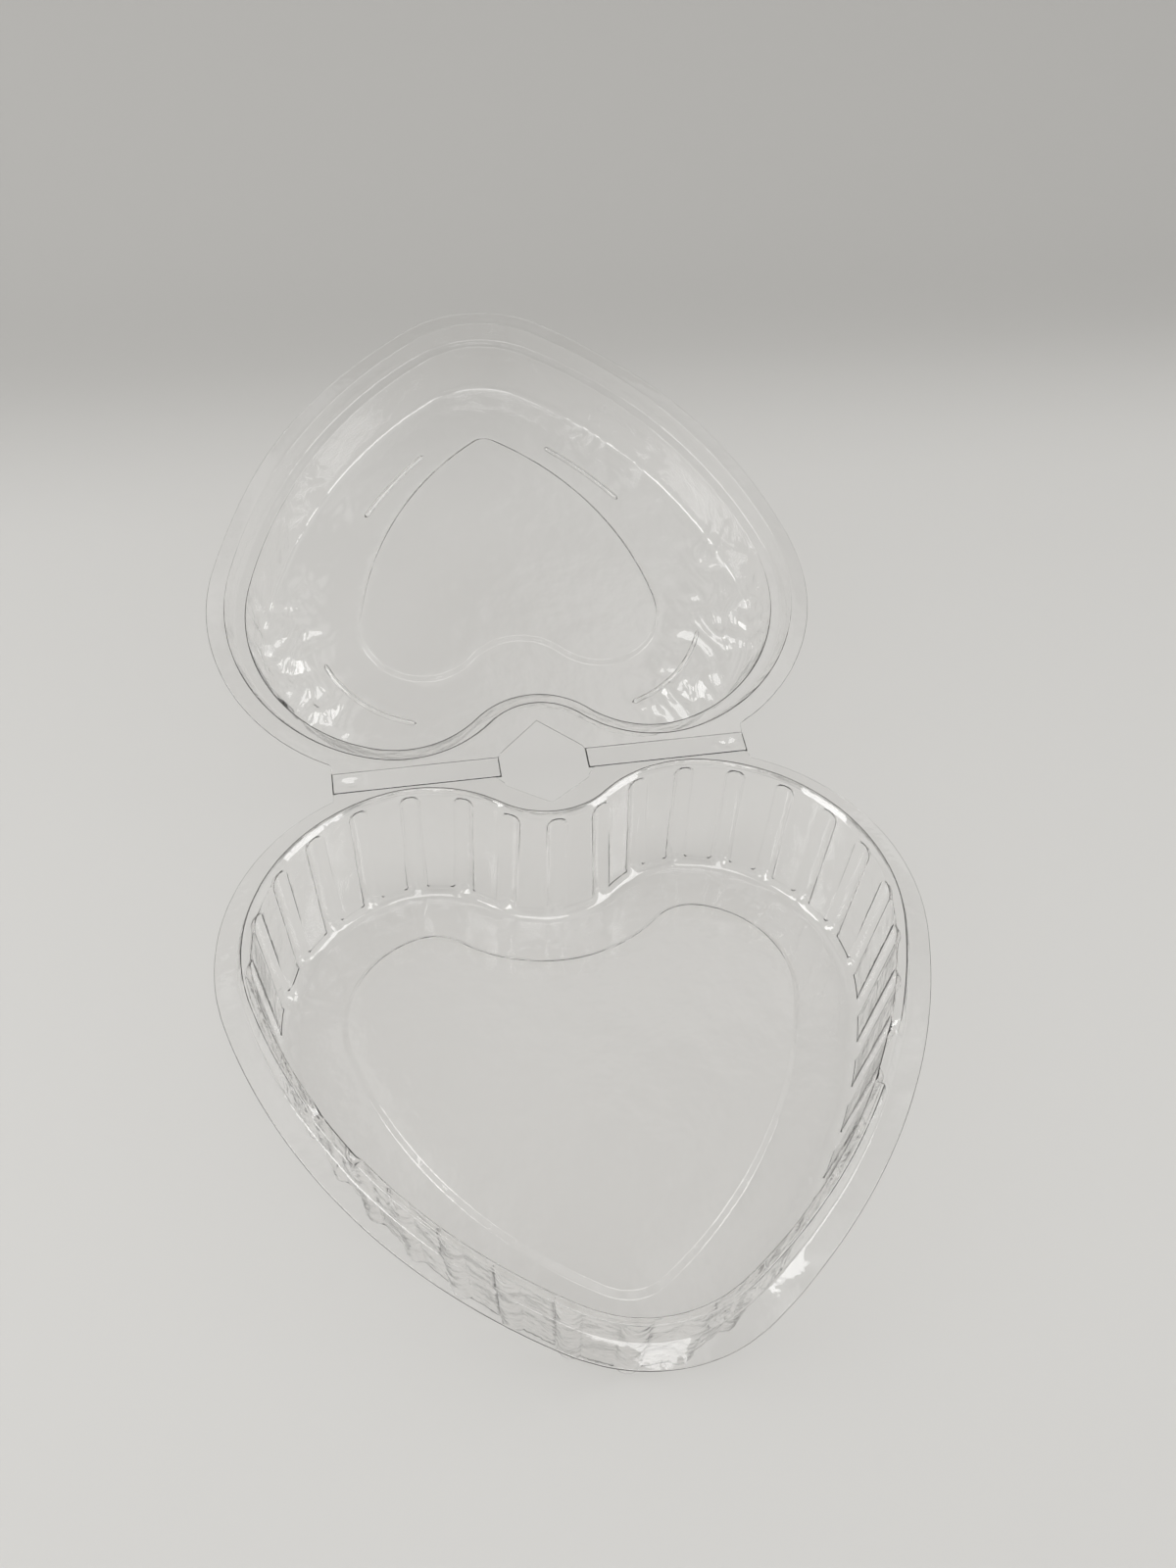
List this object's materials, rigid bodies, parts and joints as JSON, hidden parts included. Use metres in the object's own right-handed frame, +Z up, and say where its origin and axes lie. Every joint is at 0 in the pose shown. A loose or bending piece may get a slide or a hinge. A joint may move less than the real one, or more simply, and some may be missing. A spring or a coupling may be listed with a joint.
{
  "type": "plastic clamshell pack",
  "caption": "Clear heart-shaped hinged clamshell pack, standing open: deep fluted tray and shallower smooth lid on two hinge straps",
  "frame": {"origin": "On the surface the tray stands on, below the middle of the pack as it stands open; the hinge line lies 4.8 mm from it towards +Y", "axes": "X runs along the hinge line and X = 0 is the plane of symmetry, the tray's tip points to -Y, the lid lies on the +Y side, Z is up"},
  "size_m": [0.1806, 0.322, 0.0926],
  "materials": {
    "tray": "clear, glossy",
    "lid": "clear, glossy",
    "hinge": "clear, glossy"
  },
  "bodies": {
    "tray": {"tray": "tray", "hinge_strap_left": "hinge", "hinge_strap_right": "hinge"},
    "lid": {"lid": "lid"}
  },
  "joints": [
    {"name": "lid_hinge", "type": "hinge", "parent": "tray", "child": "lid", "pos_m": [0, 0.00483, 0.03655], "axis": [1, 0, 0], "range_deg": [-25.5, 160.2], "deforming": ["hinge_strap_left", "hinge_strap_right"]}
  ]
}
